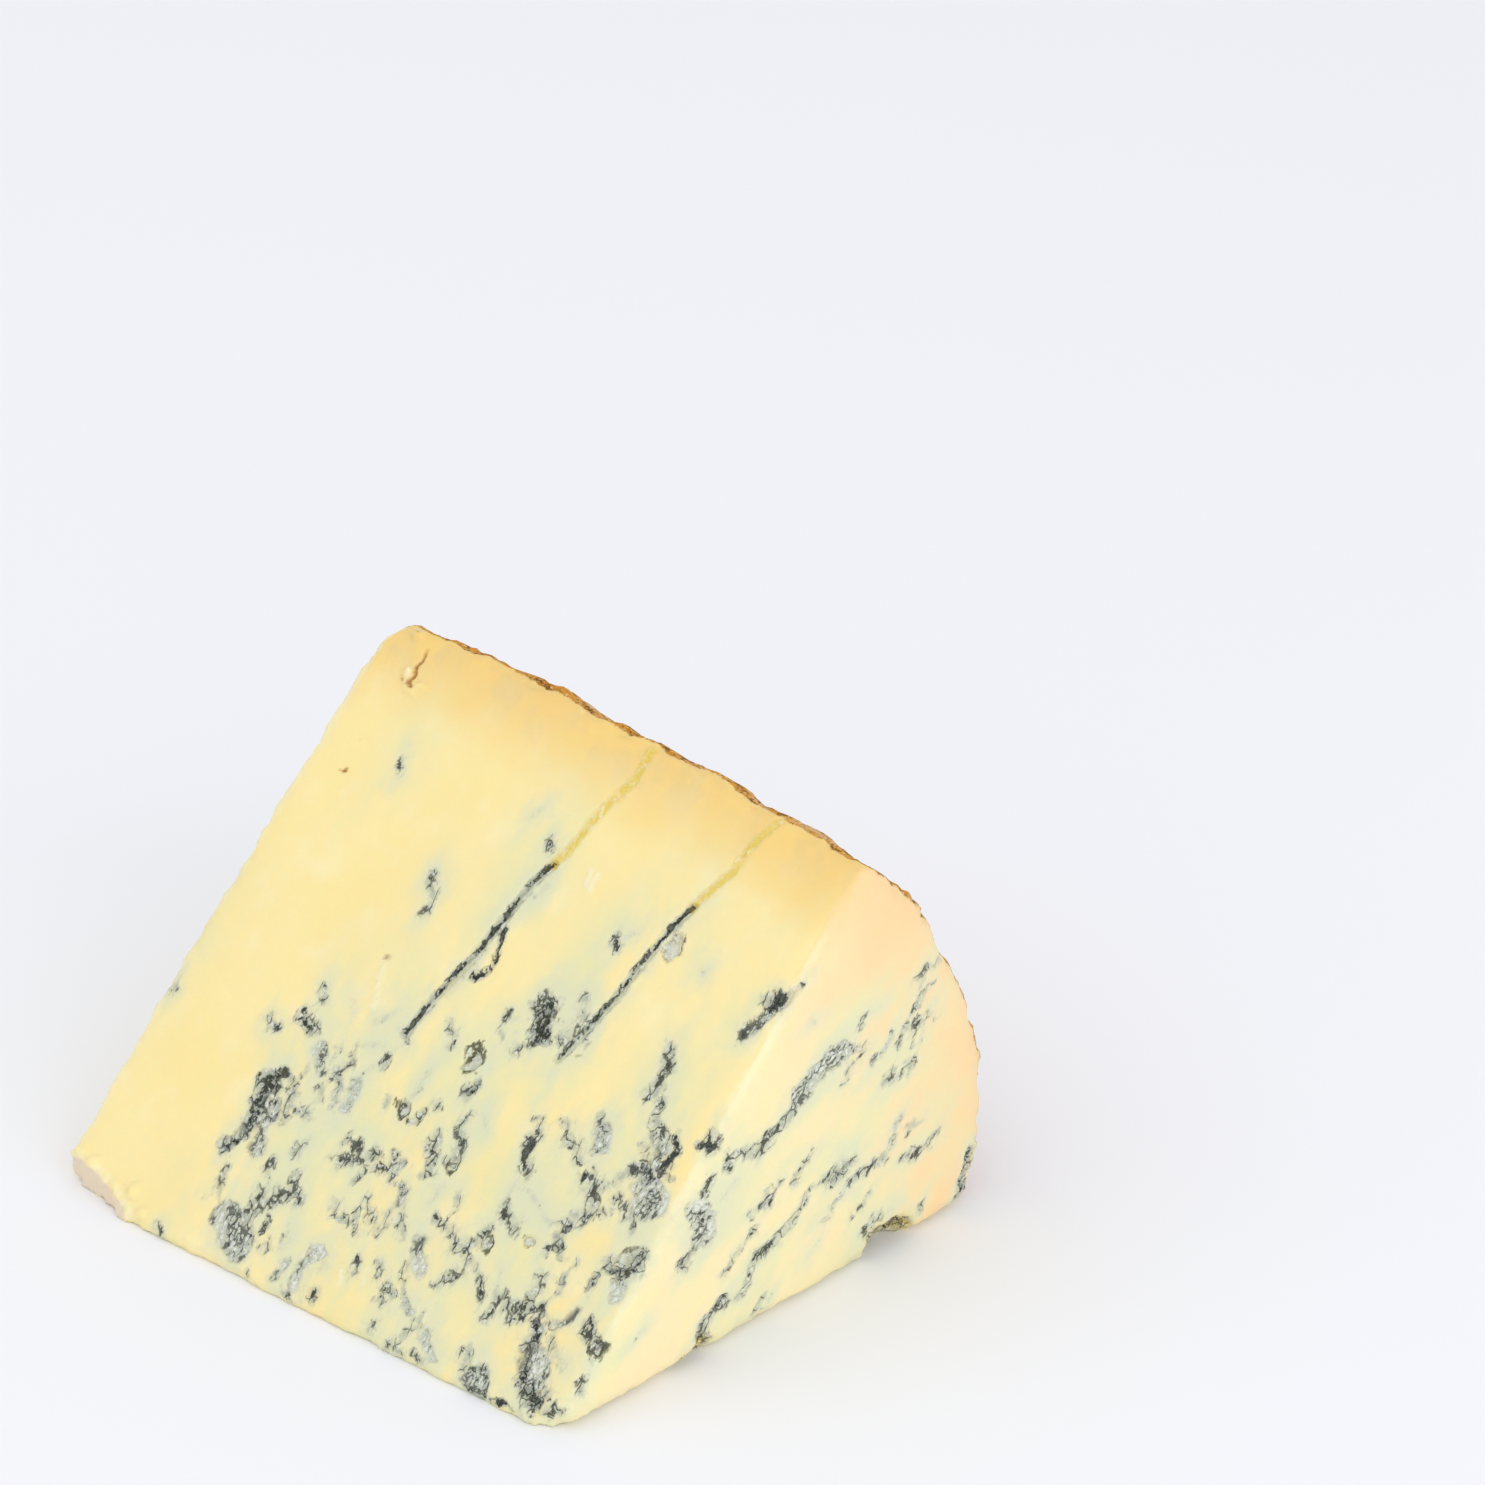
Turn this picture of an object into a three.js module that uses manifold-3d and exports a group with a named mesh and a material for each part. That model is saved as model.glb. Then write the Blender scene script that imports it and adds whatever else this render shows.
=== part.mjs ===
// A wedge of blue-veined cheese, cut from a drum-shaped wheel: an eighth of the way round, and part of the
// wheel's height. It is one solid and it lies on one of its two long cut faces. X runs along the wheel's axis,
// from the end with the broken corner to the other end. Y runs from the thin edge, where the axis was, out to
// the rind, and Z is up.
import * as THREE from "three";
import { mergeVertices } from "three/addons/utils/BufferGeometryUtils.js";
import Module from "manifold-3d";

// Driving dimensions, in millimetres, and in degrees for the angle between the two long cut faces.
const LENGTH = 111.3;
const WEDGE_ANGLE = 45.9;
const WHEEL_RADIUS = 108.6;
const BLUNT_TIP = 1.1; // the thin edge's own thickness, as a radius from the wheel's axis

// How the wheel narrows towards the end at +X, and the dents in its side: [x, depth, half width].
const WIDEST_AT = 24;
const NARROWING = 7.6;
const NARROWING_POWER = 1.3;
const DENTS = [
  [55, 0.7, 8],
  [83, 0.5, 6],
  [103, 0.7, 4],
];

// Shallow waves in the rind: their height, and how fast they turn along the axis and round it. Two sets cross.
const WAVE_HEIGHT = 0.35;
const WAVES = { along: 0.23, round: 0.21 };
const CROSSING_WAVES = { along: 0.11, round: -0.33, start: 1 };

// The wheel's lower edge is pressed in where the wedge rests, and both long edges of the rind are worn.
const PRESSED_DEPTH = 7.6;
const PRESSED_ANGLE = 21;
const PRESSED_POWER = 2.4;
const WORN_DEPTH = 1.6;
const WORN_ANGLE = 2.2;

// The ends are cut a little askew: how far each leans to +X for a millimetre of Y or of Z. The start also
// bows out to -X halfway between the thin edge and the rind.
const START_LEAN = { y: 0.053, z: 0.05 };
const END_LEAN = { y: 0.05, z: 0 };
const START_BOW = 0.7;
const START_ROUNDING = 2;
const END_ROUNDING = 2.6;
const START_RIND_ROUNDING = 7;

// Divisions along the wheel's axis, outwards and round the wedge, and how far they crowd to the edges.
const ALONG = 26;
const OUTWARD = 16;
const AROUND = 14;
const CROWDING = 0.7;

// What has broken away: a flake off one end of the thin edge, crumbs off its other end, and two crumbled
// places under the end face.
const BREAKS = [
  { name: "corner_flake", at: [1.5, -2.9, 2.6], size: [20.5, 8.3, 9], turn: [0, 0, -0.08] },
  { name: "corner_crumbs", at: [115, -1.6, 1.5], size: [12, 5.6, 6.5], turn: [0, 0, -0.12] },
  { name: "front_crumble", at: [115.6, 31, 0], size: [4.2, 5.4, 3.6], turn: [0.5, 0, 0.1] },
  { name: "rear_crumble", at: [118, 75.3, 0], size: [7.2, 6.3, 6.2], turn: [0.15, 0, 0] },
];
const BREAK_DETAIL = 2;
const BREAK_LUMPS = 0.09;

const wedgeAngle = THREE.MathUtils.degToRad(WEDGE_ANGLE);
const wasm = await Module();
wasm.setup();

// Moves a share from 0 to 1 towards its nearer end, so that divisions crowd where the edges turn.
function crowded(share) {
  return share - (CROWDING * Math.sin(2 * Math.PI * share)) / (2 * Math.PI);
}

// How far a rounded edge has come in at this distance from a face, for a rounding of this radius.
function comeIn(distance, radius) {
  const short = Math.max(radius - distance, 0);
  return radius - Math.sqrt(radius * radius - short * short);
}

// One soft bump of height 1 at 0, gone by about twice its half width.
function bump(offset, halfWidth) {
  return Math.exp(-((offset / halfWidth) ** 2));
}

// The wheel's radius at a place along the axis and an angle up from the lower face, in radians.
function rindRadius(x, angle) {
  const degrees = THREE.MathUtils.radToDeg(angle);
  const narrowed = NARROWING * (Math.max(x - WIDEST_AT, 0) / (LENGTH - WIDEST_AT)) ** NARROWING_POWER;
  const dented = DENTS.reduce((sum, [at, depth, width]) => sum + depth * bump(x - at, width), 0);
  const pressed = PRESSED_DEPTH * Math.max(1 - degrees / PRESSED_ANGLE, 0) ** PRESSED_POWER;
  const worn = WORN_DEPTH * Math.max(1 - (WEDGE_ANGLE - degrees) / WORN_ANGLE, 0) ** 2;
  const first = Math.sin(x * WAVES.along + degrees * WAVES.round);
  const second = Math.sin(x * CROSSING_WAVES.along + degrees * CROSSING_WAVES.round + CROSSING_WAVES.start);
  const waves = WAVE_HEIGHT * first * second;
  return WHEEL_RADIUS - narrowed - dented * (degrees / WEDGE_ANGLE) - pressed - worn + waves;
}

// The distance from a point, along a direction, to a circle round the origin that holds the point.
function reach(point, direction, radius) {
  const along = point.dot(direction);
  return -along + Math.sqrt(along * along - point.lengthSq() + radius * radius);
}

// The place on the wedge for shares from 0 to 1 along the axis, outwards from it and up from the lower face.
function wedgePoint(along, outward, around) {
  const x = LENGTH * along;
  const angle = wedgeAngle * around;
  const inset = comeIn(x, START_ROUNDING) + comeIn(LENGTH - x, END_ROUNDING);
  const rindInset = comeIn(x, START_RIND_ROUNDING) + comeIn(LENGTH - x, END_ROUNDING);
  const apex = new THREE.Vector2(inset / Math.tan(wedgeAngle / 2), inset);
  const direction = new THREE.Vector2(Math.cos(angle), Math.sin(angle));
  const far = reach(apex, direction, rindRadius(x, angle) - rindInset);
  const near = BLUNT_TIP;
  const [y, z] = apex.addScaledVector(direction, near + (far - near) * outward).toArray();
  const bow = START_BOW * Math.sin(Math.PI * outward);
  const startShift = START_LEAN.y * y + START_LEAN.z * z - bow;
  const endShift = END_LEAN.y * y + END_LEAN.z * z;
  return [x + startShift * (1 - along) + endShift * along, y, z];
}

// Sends each vertex of a geometry to the place that a function gives for it.
function reshape(geometry, place) {
  const position = geometry.getAttribute("position");
  for (let i = 0; i < position.count; i += 1) {
    position.setXYZ(i, ...place(position.getX(i), position.getY(i), position.getZ(i)));
  }
  return geometry;
}

// A box whose six sides become the wedge's ends, thin edge, rind and two long cut faces.
function wholeWedge() {
  const box = new THREE.BoxGeometry(1, 1, 1, ALONG, OUTWARD, AROUND).translate(0.5, 0.5, 0.5);
  return reshape(box, (x, y, z) => wedgePoint(crowded(x), crowded(y), crowded(z)));
}

// A lumpy ball: the shape that a crumb leaves when it comes away.
function brokenPiece({ at, size, turn }) {
  const ball = new THREE.IcosahedronGeometry(1, BREAK_DETAIL);
  reshape(ball, (x, y, z) => {
    const lump = 1 + BREAK_LUMPS * Math.sin(5 * x + 2 * z) * Math.cos(4 * y - 3 * z);
    return [x * lump, y * lump, z * lump];
  });
  const rotation = new THREE.Quaternion().setFromEuler(new THREE.Euler(...turn));
  const placed = new THREE.Matrix4().compose(new THREE.Vector3(...at), rotation, new THREE.Vector3(...size));
  return ball.applyMatrix4(placed);
}

function toSolid(geometry) {
  const bare = new THREE.BufferGeometry();
  bare.setAttribute("position", geometry.getAttribute("position"));
  if (geometry.index) bare.setIndex(geometry.index);
  const merged = mergeVertices(bare, 1e-4);
  const vertProperties = merged.getAttribute("position").array;
  const triVerts = new Uint32Array(merged.index.array);
  return new wasm.Manifold(new wasm.Mesh({ numProp: 3, vertProperties, triVerts }));
}

function toGeometry(solid) {
  const { vertProperties, triVerts } = solid.getMesh();
  const geometry = new THREE.BufferGeometry();
  geometry.setAttribute("position", new THREE.BufferAttribute(vertProperties, 3));
  geometry.setIndex(new THREE.BufferAttribute(triVerts, 1));
  geometry.computeVertexNormals();
  return geometry;
}

function cheeseWedge() {
  const solid = BREAKS.reduce(
    (left, piece) => left.subtract(toSolid(brokenPiece(piece))),
    toSolid(wholeWedge()),
  );
  const paste = new THREE.MeshStandardMaterial({ color: 0xfbe2a3, roughness: 0.5, metalness: 0 });
  const mesh = new THREE.Mesh(toGeometry(solid), paste);
  mesh.name = "cheese_wedge";
  return mesh;
}

// The group's origin is the middle of the wedge's box, on the surface that it rests on.
const group = new THREE.Group();
const wedge = cheeseWedge();
wedge.geometry.computeBoundingBox();
const middle = wedge.geometry.boundingBox.getCenter(new THREE.Vector3());
wedge.position.set(-middle.x, -middle.y, -wedge.geometry.boundingBox.min.z);
group.add(wedge);

export default group;
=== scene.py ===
"""A wedge of blue-veined cheese, resting on one long cut face, on a plain pale stage.

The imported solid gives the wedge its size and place. Its surface is made finer, and moved by less than two
millimetres: mould veins sink and crumble, needle channels are grooves, pockets are hollow, and the rind is
a rough crust. Each vertex also keeps how deep it lies in the mould, in the blue-grey stain and under the
rind, and the material draws the veins from that.
"""

import math

import bmesh
import bpy
import numpy as np
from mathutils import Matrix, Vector, noise
from mathutils.bvhtree import BVHTree


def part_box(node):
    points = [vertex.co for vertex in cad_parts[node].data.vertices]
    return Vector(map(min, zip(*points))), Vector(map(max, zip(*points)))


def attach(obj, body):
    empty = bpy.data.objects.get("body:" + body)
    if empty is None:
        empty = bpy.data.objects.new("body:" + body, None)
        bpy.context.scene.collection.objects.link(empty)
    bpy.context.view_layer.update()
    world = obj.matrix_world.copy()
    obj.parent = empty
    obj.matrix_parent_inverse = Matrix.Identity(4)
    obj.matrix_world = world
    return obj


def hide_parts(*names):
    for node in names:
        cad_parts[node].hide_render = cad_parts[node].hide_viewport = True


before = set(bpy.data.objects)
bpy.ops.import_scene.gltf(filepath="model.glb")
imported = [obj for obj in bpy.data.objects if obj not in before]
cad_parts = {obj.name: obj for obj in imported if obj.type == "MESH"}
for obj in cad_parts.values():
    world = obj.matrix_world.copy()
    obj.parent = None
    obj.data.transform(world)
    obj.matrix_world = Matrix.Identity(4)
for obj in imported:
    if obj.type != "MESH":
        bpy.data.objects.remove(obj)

bl_info = {
    "name": "Blue cheese wedge",
    "version": (1, 0, 0),
    "blender": (4, 5, 0),
    "location": "3D View > Sidebar > Cheese",
    "description": "Builds a wedge of blue-veined cheese and the stage that it rests on",
    "category": "Object",
}

MM = 0.001
NODE = "cheese_wedge"
LOW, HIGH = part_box(NODE)
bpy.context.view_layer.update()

# The wheel that the wedge was cut from, in millimetres and degrees. Places on the wedge are (x, y, z) with x
# from the box's low end, and y and z from the wheel's axis.
AXIS_BEHIND_BOX = 0.8
CUT_ANGLE = math.radians(45.9)
END_AT = 110.9
END_LEAN = 0.05
LONGEST = 112.0
RIM = 107.0

# Mould on the upper cut face. Each vein is (kind, width, points), and each point is x and the distance from
# the wheel's axis. Veins run mostly outwards, as the curd was pressed.
UPPER_VEINS = [
    # near the start
    ("clot", 1.3, [(24, 40.5), (25.5, 39.5), (27, 39.5)]),
    ("clot", 1.8, [(30.5, 43), (33, 42)]),
    ("clot", 1.0, [(31.5, 48.5), (32.5, 46.5)]),
    ("smear", 0.9, [(38, 48), (38.5, 47)]),
    ("mass", 2.8, [(30.5, 32), (30.5, 27.5), (31, 24.5), (30.5, 22), (28.5, 19.5)]),
    ("grains", 2.4, [(32, 28), (34, 24), (34, 21)]),
    ("clot", 1.5, [(33, 33.5), (35.5, 32), (36, 29), (36.5, 27)]),
    ("clot", 1.5, [(36, 29), (38.5, 29), (40.5, 29.5)]),
    ("clot", 0.9, [(35.5, 34.5)]),
    ("grains", 2.0, [(36, 39.5), (37, 37.5), (39, 36.5)]),
    ("smear", 1.4, [(41.5, 39), (42.5, 38), (42, 36), (41, 36.5), (39, 37.5)]),
    ("smear", 1.1, [(43.5, 42.5), (46.5, 43.5), (49, 43), (47.5, 41), (45, 37.5), (44.5, 31.5)]),
    ("clot", 0.9, [(49, 42), (49.5, 41)]),
    ("smear", 2.5, [(49.5, 47), (51, 45.5)]),
    ("clot", 0.9, [(41.5, 23.5), (42, 22.5)]),
    ("clot", 1.1, [(38, 19.5), (38, 18.5)]),
    ("clot", 1.0, [(31, 16), (31, 13), (32.5, 11)]),
    ("clot", 1.4, [(39, 14.5), (38, 11), (36.5, 9), (38, 7), (38, 5)]),
    ("clot", 1.4, [(44, 19), (45, 17.5), (46.5, 16)]),
    ("clot", 1.5, [(45, 17.5), (43, 15), (40.5, 13), (39.5, 10.5), (41, 7.5), (40, 5)]),
    ("grains", 5.0, [(35, 9), (38, 7), (40, 5.5)]),
    ("crack", 0.6, [(43, 11.5), (43, 9.5)]),
    ("clot", 1.0, [(44.5, 8), (45.5, 7)]),
    ("clot", 0.9, [(47, 9.5)]),
    # the middle, towards the thin edge
    ("clot", 0.7, [(57, 51.5), (58, 50.5)]),
    ("clot", 0.7, [(59, 47.5)]),
    ("smear", 1.2, [(57.5, 44), (57.5, 41), (57, 39), (56.5, 36.5)]),
    ("crack", 0.6, [(58.5, 35), (59.5, 35.5), (60, 37)]),
    ("clot", 0.8, [(53, 36.5), (53, 35.5)]),
    ("clot", 0.9, [(61.5, 39)]),
    ("clot", 1.1, [(68, 39.5), (68, 37), (69.5, 35), (69.5, 32.5)]),
    ("clot", 1.4, [(64.5, 34.5), (65, 32.5), (67, 29), (66, 28)]),
    ("clot", 1.5, [(50, 28.5), (52, 28)]),
    ("clot", 1.5, [(50, 24.5), (53, 26), (55, 27), (56, 28)]),
    ("clot", 1.0, [(59, 29.5), (59, 28)]),
    ("clot", 1.0, [(53.5, 18.5), (54, 17), (56, 16.5), (58.5, 17.5), (59, 16)]),
    ("clot", 1.0, [(58.5, 21), (60, 19.5), (60, 18)]),
    ("clot", 1.0, [(62.5, 25), (63.5, 23.5), (63.5, 21), (63.5, 19.5), (63, 17.5)]),
    ("clot", 0.8, [(73.5, 27), (74.5, 25.5), (74, 24.5)]),
    ("smear", 1.0, [(71.5, 40.5), (73, 39)]),
    ("clot", 1.6, [(72, 23), (73.5, 22.5), (76, 21.5), (77.5, 20.5), (79.5, 21.5), (81, 24)]),
    ("clot", 1.0, [(79.5, 21.5), (81, 20), (84.5, 17.5), (86.5, 15.5)]),
    ("smear", 1.0, [(72, 20), (71.5, 19)]),
    ("clot", 0.8, [(62, 12), (62.5, 10)]),
    ("clot", 0.8, [(66, 13), (67, 11.5)]),
    # the middle, towards the rind
    ("smear", 1.0, [(52.5, 87), (54, 88.5)]),
    ("clot", 1.2, [(58, 84.5), (58.5, 83.5)]),
    ("smear", 1.6, [(61, 77), (60.5, 75.5)]),
    ("clot", 0.7, [(40, 72), (42.5, 68.5), (42, 65.5)]),
    ("smear", 1.0, [(24.5, 87), (25, 85)]),
    ("crack", 0.8, [(58, 68.5), (59, 63.5), (58.5, 60.5), (57, 59.5)]),
    ("clot", 1.7, [(78, 74), (78.5, 73)]),
    ("smear", 1.2, [(79.5, 75), (81, 76.5)]),
    ("clot", 0.9, [(66.5, 57), (67, 55.5)]),
    ("clot", 0.8, [(66.5, 53.5)]),
    ("mass", 3.6, [(72, 60), (73, 58), (73.5, 56)]),
    ("clot", 0.8, [(70, 51.5), (72, 53.5), (73, 54)]),
    ("clot", 0.9, [(78.5, 63.5)]),
    ("smear", 4.0, [(79, 61.5), (78.5, 57.5)]),
    ("clot", 1.4, [(79.5, 61.5), (78.5, 57.5), (77, 56)]),
    ("smear", 1.6, [(95, 75.5), (96, 74.5)]),
    # near the ridge, towards the thin edge
    ("clot", 1.1, [(79.5, 43.5), (81, 44.5), (81.5, 42.5), (82.5, 41.5)]),
    ("clot", 1.3, [(85.5, 45), (86.5, 43), (87.5, 43), (90, 42.5), (91, 40.5)]),
    ("clot", 0.8, [(91, 48.5), (92, 46)]),
    ("grains", 3.2, [(92, 46), (93, 44)]),
    ("clot", 1.5, [(81, 39.5), (82, 37), (83.5, 35.5)]),
    ("smear", 1.0, [(82.5, 31.5), (82.5, 33), (84.5, 33), (87, 32.5), (89, 31), (92, 30.5), (96, 31.5)]),
    ("clot", 1.5, [(82.5, 29), (84, 28), (86, 27)]),
    ("clot", 1.1, [(99.5, 54), (99.5, 52), (101.5, 50.5), (103, 49), (104.5, 50)]),
    ("clot", 1.3, [(101, 47), (102, 45), (101.5, 43), (99.5, 42), (98.5, 39.5), (97.5, 39)]),
    ("mass", 2.6, [(102.5, 43.5), (104.6, 42.6)]),
    ("grains", 6.0, [(105, 40.5), (106, 39)]),
    ("clot", 1.7, [(93.5, 38.5), (95.5, 37.5), (97, 36), (97, 33), (96, 32)]),
    ("clot", 1.0, [(98.5, 35), (100.5, 35)]),
    ("clot", 1.1, [(101, 37.5), (102.5, 37), (104, 36), (105.5, 34.5)]),
    ("crack", 0.6, [(104.5, 50), (106.5, 48.5), (106, 47), (105, 45)]),
    ("mass", 1.6, [(104.5, 28), (108, 27.5), (108.5, 31.5)]),
    ("clot", 1.2, [(109, 29.5), (111.5, 29)]),
    ("grains", 2.0, [(108.5, 26), (108.5, 24.5)]),
    ("clot", 0.9, [(96.5, 26.5), (94.5, 27)]),
    ("clot", 1.1, [(95, 22), (94.5, 19), (94.5, 17)]),
    ("clot", 1.5, [(91.5, 16), (93.5, 16.5), (96, 17), (97, 18.5)]),
    ("clot", 1.1, [(94.5, 15), (93.5, 14)]),
    ("clot", 1.3, [(98, 17.5), (101, 16)]),
    ("clot", 0.9, [(89.5, 15), (89, 12.5)]),
    ("mass", 2.4, [(98, 15), (98.5, 13), (99, 11), (99, 9), (99.5, 7)]),
    ("grains", 3.4, [(100, 11), (102, 9.5), (102.5, 7.5)]),
    ("mass", 2.8, [(102, 6), (103.5, 5)]),
    ("clot", 1.3, [(104.5, 6.5), (106.5, 5.5)]),
    ("clot", 1.3, [(101.5, 14), (102.5, 12.5), (104, 11)]),
    ("smear", 1.2, [(104, 11.5), (106.5, 12.5)]),
    ("clot", 1.6, [(107, 19), (107.5, 17), (109, 17)]),
    ("smear", 0.9, [(108.5, 15), (110, 13)]),
    ("clot", 1.9, [(110, 10), (110.5, 9)]),
    ("clot", 1.8, [(89, 6.5), (89.5, 5.5)]),
    ("grains", 4.2, [(92, 3.5), (93, 3)]),
    ("crack", 0.7, [(90.5, 4.5), (93, 5.5), (94.5, 4), (95, 1.5), (91, 1.5), (90.5, 4.5)]),
    ("crack", 0.8, [(91.5, 1), (95.5, 1), (99, 2), (100.5, 1.5)]),
    ("clot", 1.1, [(106.5, 4), (109, 4.5), (111, 5.5)]),
    # beside the ridge
    ("clot", 1.6, [(96.5, 62), (97.5, 60), (97, 55.5), (96.5, 54)]),
    ("clot", 0.9, [(98.5, 54), (100, 53), (100.5, 50.5), (102.5, 49)]),
    ("clot", 2.6, [(109.5, 75.4), (108.8, 73.8)]),
    ("clot", 1.2, [(108.6, 73), (107.4, 70), (106.8, 68.6)]),
    ("grains", 1.6, [(109.6, 73), (108.6, 70.5)]),
    ("crack", 0.5, [(109.5, 75), (111.3, 77.7), (113.7, 80.1)]),
    ("clot", 1.6, [(110.5, 53), (112.5, 53), (112, 51.5), (110, 51)]),
    ("clot", 0.9, [(24.3, 86.6), (24.8, 84.8)]),
    # along the thin edge
    ("clot", 1.0, [(24, 2.5), (25, 2)]),
    ("clot", 1.0, [(52.5, 2.5), (53.5, 1.5)]),
    ("clot", 0.9, [(57.5, 5), (58, 3.5)]),
    ("clot", 1.0, [(75, 2.5), (77, 1.5)]),
    ("clot", 1.0, [(80, 2), (82, 1.5)]),
    ("clot", 0.9, [(44, 3), (44.5, 1.5)]),
]

# Mould on the end face, in the same form. Each point is y and z from the wheel's axis.
END_VEINS = [
    ("clot", 0.9, [(68.5, 45.5), (67, 44)]),
    ("smear", 0.7, [(69.5, 45.5), (72, 46)]),
    ("smear", 1.2, [(56, 50.5), (57, 49.5)]),
    ("grains", 3.6, [(63.5, 41.5), (59.5, 41), (57, 40), (54, 38)]),
    ("clot", 1.5, [(52.5, 37), (50.5, 34.5), (47, 33), (45, 32), (40, 33.5), (38, 32.5)]),
    ("clot", 0.9, [(67, 41), (64, 41.5), (61, 43)]),
    ("smear", 0.7, [(70, 40), (69.5, 38.5)]),
    ("clot", 0.9, [(81.5, 39), (80, 39)]),
    ("smear", 0.8, [(84, 42.5), (83, 41)]),
    ("clot", 0.6, [(75.5, 33.5), (73.5, 32)]),
    ("clot", 0.6, [(77.5, 32.5), (76.5, 31.5)]),
    ("clot", 0.6, [(80, 32.5), (79, 31)]),
    ("clot", 0.8, [(86, 17), (82, 15.5), (77.5, 16)]),
    ("clot", 0.8, [(81, 21), (79, 20.5)]),
    ("smear", 2.6, [(63, 21.5), (64.5, 19), (65.5, 16.5)]),
    ("clot", 1.0, [(74, 18), (70, 18), (67, 17.5)]),
    ("clot", 0.8, [(62, 21), (58.5, 20), (54, 17.5), (51, 15.5), (48.5, 14.5), (44, 13.5)]),
    ("clot", 0.8, [(44, 13.5), (42, 11.5), (42, 8.5), (37, 8)]),
    ("smear", 1.2, [(60.5, 14), (60, 12.5)]),
    ("clot", 0.8, [(41, 16), (37, 14)]),
    ("clot", 0.8, [(72.5, 7.5), (69, 7)]),
    ("clot", 0.8, [(82.5, 6), (82, 5)]),
    ("smear", 1.6, [(75.5, 8), (76, 7)]),
    ("mass", 1.8, [(37, 9), (34, 6.5), (31.5, 4)]),
    ("smear", 0.9, [(47.5, 4.5), (45.5, 3.5), (44, 2.5)]),
    ("grains", 5.4, [(32, 26.5), (33, 23)]),
    ("mass", 1.8, [(30.5, 20.5), (28, 19.5)]),
    ("clot", 0.9, [(43, 21)]),
    ("clot", 0.9, [(43.5, 18)]),
    ("smear", 1.2, [(40, 28.5), (36.5, 27.5)]),
    ("clot", 1.1, [(34, 32), (33, 30.5)]),
    ("smear", 1.0, [(20, 12), (18, 10.5)]),
    ("mass", 2.2, [(94.2, 9.4), (93.6, 6.3), (92, 2.4)]),
]

# Mould in the two crumbled places under the end face, as places on the wedge.
BREAK_VEINS = [
    ("crumble", 5.4, [(113.6, 72, 2.6), (112, 75, 3), (113, 78, 2.4)]),
    ("crumble", 3.0, [(112, 33, 3), (111.4, 31, 1.5), (111.6, 28, 0.5)]),
]

# Needle channels that the cut laid open on the upper face: grooves from near the rind inwards. The part
# nearest the rind is ochre and the rest is lined with mould; its dark line is mould and painted shade on one wall.
CHANNELS = [
    {
        "ochre": [(67.3, 104), (67.1, 98.4), (64.4, 92.8), (63.4, 89.5), (62, 84), (60.5, 81)],
        "lined": [(60.5, 81), (58.5, 77), (56.5, 68.5), (54.5, 61.5), (51.5, 53.5), (50, 47)],
    },
    {
        "ochre": [(95.5, 102), (92.5, 95.5), (92, 91.5), (89.5, 86.5), (88, 83.5)],
        "lined": [(88, 83.5), (85.5, 76.5), (83, 65.5), (80.5, 59), (78.5, 53.5)],
    },
    {
        "ochre": [(115, 84), (113, 80)],
        "lined": [(113, 80), (112, 77), (110.5, 74.5)],
    },
]

# Small marks on the upper cut face: thin rust-brown cracks, and pale scratches from the knife, in the same form
# as the veins' points.
RUST_CRACKS = [
    [(18.1, 104.7), (18.5, 102.6), (17.9, 101.2), (18.6, 99.4), (18.8, 98)],
    [(16.4, 99.6), (18.4, 98.6)],
    [(14.7, 87.6), (14.9, 87.2)],
    [(13.8, 81.4), (14.4, 81.8), (14.8, 81.2)],
    [(39.8, 57.2), (40.2, 56.6)],
    [(81.5, 55), (82.5, 58.5)],
    [(98, 104), (101, 103.5)],
]
SCRATCHES = [
    [(49.4, 29), (50, 28.3), (53.2, 25.1)],
    [(49.2, 27.2), (51.2, 29.3)],
    [(60.3, 9.5), (60.8, 7.5)],
    [(64.8, 11.3), (65.2, 9.2)],
    [(76.9, 10.6), (77.3, 8.2)],
    [(78, 10.6), (78.4, 8)],
    [(16.8, 101), (17.6, 99)],
    [(67.6, 82.6), (67.9, 80)],
    [(69.4, 82.2), (68.9, 79.6)],
    [(40, 57), (41.2, 52.6), (42.5, 48.3)],
]

# Open pockets on the upper face: [x, distance from the axis, radius across, radius along, depth].
POCKETS = [
    [64, 48, 1.5, 2.2, 1.6],
    [56.5, 36.5, 1.4, 1.5, 0.9],
    [87.8, 76.6, 1.9, 2.4, 1.7],
    [107, 30, 1.3, 1.5, 1.3],
    [89.5, 26, 1.1, 1.2, 0.9],
    [82.5, 23, 1.2, 1.2, 0.9],
    [110, 16, 1.5, 1.6, 1.2],
    [70, 32.5, 0.9, 1.5, 0.8],
]

# Crumbs that stand up from the surface: [x, y, z, radius, height].
CRUMBS = [
    [15, 74, 76.6, 1.1, 1.6],
    [19, 68.5, 70.6, 2.0, 0.7],
    [20.5, 69, 71.2, 1.2, 0.8],
    [107, 4, 3.6, 2.4, 0.9],
    [104, 2.6, 2, 1.8, 0.8],
    [109.5, 4.6, 4, 1.6, 0.8],
    [106.5, 20, 20.5, 1.4, 0.5],
    [16.9, 69.6, 71.8, 1.5, 0.6],
    [2.8, 5.5, 5.4, 1.3, 0.9],
    [6.4, 5.2, 5.1, 1.5, 0.8],
    [12.5, 4.1, 4, 1.4, 0.8],
    [16.7, 4.2, 4.2, 1.6, 0.8],
    [20, 2.6, 2.6, 1.3, 0.7],
    [21, 73.8, 77.6, 1.0, 0.9],
]

# The way that the mould's strokes are drawn out: outwards and up.
DRAWN = (0.0, math.cos(math.radians(35)), math.sin(math.radians(35)))

# The ellipsoid that the flake left at the start's corner: its middle and its radii.
FLAKE_AT = (1.1, -2.9, 2.6)
FLAKE_SIZE = (20.5, 8.3, 9.0)

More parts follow.
